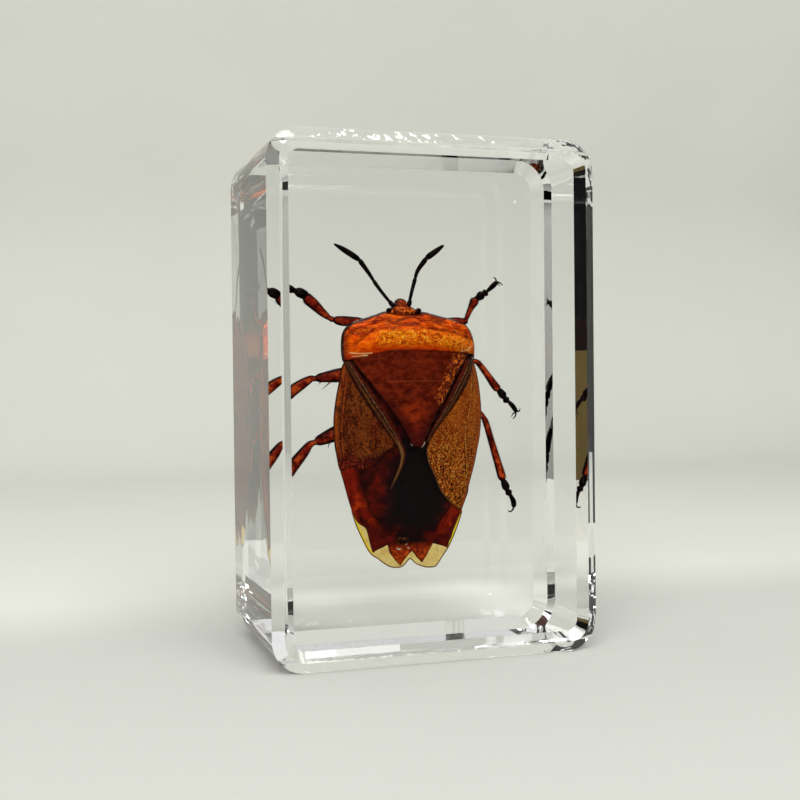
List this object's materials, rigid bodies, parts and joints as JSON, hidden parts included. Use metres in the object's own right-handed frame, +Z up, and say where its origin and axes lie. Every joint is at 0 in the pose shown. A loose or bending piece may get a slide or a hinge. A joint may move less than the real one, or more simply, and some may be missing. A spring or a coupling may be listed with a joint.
{
  "type": "insect in resin block",
  "caption": "Dried shield bug with spread legs, cast upright in a clear resin block with bevelled edges; stands on its bottom face as a display specimen.",
  "frame": {"origin": "middle of the bottom face that the block stands on", "axes": "+Z up the block's long side, towards the bug's head; -Y out of the front face, which the bug's back looks through; X across the width"},
  "size_m": [0.039, 0.0248, 0.06],
  "materials": {
    "clear_resin": "polished water-clear cast resin",
    "cuticle": "glossy amber-brown insect cuticle, part see-through at the wings"
  },
  "bodies": {
    "root": {"resin_front": "clear_resin", "resin_back": "clear_resin", "shield_bug": "cuticle"}
  },
  "joints": []
}
